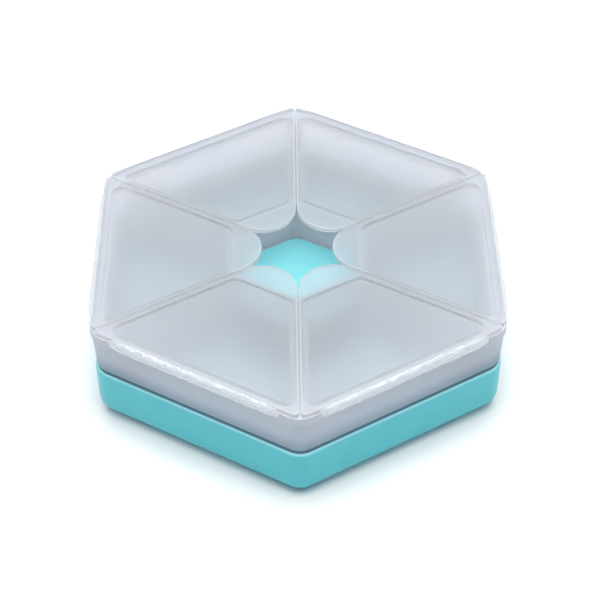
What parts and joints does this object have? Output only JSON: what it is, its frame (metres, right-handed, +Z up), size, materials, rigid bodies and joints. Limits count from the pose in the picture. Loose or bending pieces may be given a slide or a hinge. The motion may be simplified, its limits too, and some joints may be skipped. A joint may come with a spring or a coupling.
{
  "type": "divided food container",
  "caption": "Hexagonal snack container: a base holds a lift-out tray of wedge-shaped compartments round a finger well, each with its own lid on a living hinge.",
  "frame": {"origin": "middle of the underside, on the surface that the container stands on", "axes": "+Z up; corners of the hexagon point along +Y and -Y; +X towards the right-hand flat side"},
  "size_m": [0.18, 0.2014, 0.052],
  "materials": {
    "teal_plastic": "satin",
    "frosted_plastic": "frosted, see-through"
  },
  "bodies": {
    "base": {"base_tray": "teal_plastic"},
    "tray": {"divided_tray": "frosted_plastic", "hinge_web_right": "frosted_plastic", "hinge_web_back_right": "frosted_plastic", "hinge_web_back_left": "frosted_plastic", "hinge_web_left": "frosted_plastic", "hinge_web_front_left": "frosted_plastic", "hinge_web_front_right": "frosted_plastic"},
    "lid_right": {"lid_right": "frosted_plastic"},
    "lid_back_right": {"lid_back_right": "frosted_plastic"},
    "lid_back_left": {"lid_back_left": "frosted_plastic"},
    "lid_left": {"lid_left": "frosted_plastic"},
    "lid_front_left": {"lid_front_left": "frosted_plastic"},
    "lid_front_right": {"lid_front_right": "frosted_plastic"}
  },
  "joints": [
    {"name": "tray_lift", "type": "slide", "parent": "base", "child": "tray", "axis": [0, 0, 1], "range_m": [0, 0.06]},
    {"name": "lid_right_hinge", "type": "hinge", "parent": "tray", "child": "lid_right", "pos_m": [0.0892, 0, 0.0492], "axis": [0, 1, 0], "range_deg": [0, 180], "deforming": ["hinge_web_right"]},
    {"name": "lid_back_right_hinge", "type": "hinge", "parent": "tray", "child": "lid_back_right", "pos_m": [0.0446, 0.07725, 0.0492], "axis": [-0.866, 0.5, 0], "range_deg": [0, 180], "deforming": ["hinge_web_back_right"]},
    {"name": "lid_back_left_hinge", "type": "hinge", "parent": "tray", "child": "lid_back_left", "pos_m": [-0.0446, 0.07725, 0.0492], "axis": [-0.866, -0.5, 0], "range_deg": [0, 180], "deforming": ["hinge_web_back_left"]},
    {"name": "lid_left_hinge", "type": "hinge", "parent": "tray", "child": "lid_left", "pos_m": [-0.0892, 0, 0.0492], "axis": [0, -1, 0], "range_deg": [0, 180], "deforming": ["hinge_web_left"]},
    {"name": "lid_front_left_hinge", "type": "hinge", "parent": "tray", "child": "lid_front_left", "pos_m": [-0.0446, -0.07725, 0.0492], "axis": [0.866, -0.5, 0], "range_deg": [0, 180], "deforming": ["hinge_web_front_left"]},
    {"name": "lid_front_right_hinge", "type": "hinge", "parent": "tray", "child": "lid_front_right", "pos_m": [0.0446, -0.07725, 0.0492], "axis": [0.866, 0.5, 0], "range_deg": [0, 180], "deforming": ["hinge_web_front_right"]}
  ]
}
